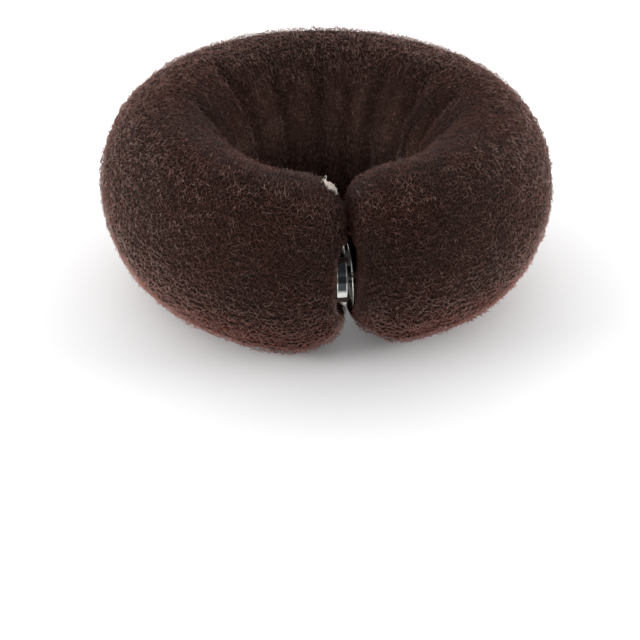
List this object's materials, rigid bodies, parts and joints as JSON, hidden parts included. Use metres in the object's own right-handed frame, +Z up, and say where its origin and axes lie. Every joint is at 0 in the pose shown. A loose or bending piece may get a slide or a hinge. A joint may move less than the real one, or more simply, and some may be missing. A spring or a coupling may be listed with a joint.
{
  "type": "hair bun maker",
  "caption": "Ring-shaped hair bun maker: a thick roll of wound net bent round a hair hole, its two domed ends closed by a sewn-on press stud.",
  "frame": {"origin": "on the axis of the hair hole, on the surface that the ring lies on", "axes": "+Z up along the axis of the hair hole, -Y towards the gap between the ends with the press stud, +X to the right seen from the gap"},
  "size_m": [0.0964, 0.0951, 0.0407],
  "materials": {
    "net": "crinkled brown nylon net",
    "snap_metal": "polished nickel plate"
  },
  "bodies": {
    "root": {"net_roll": "net", "snap_socket": "snap_metal", "snap_stud": "snap_metal"}
  },
  "joints": []
}
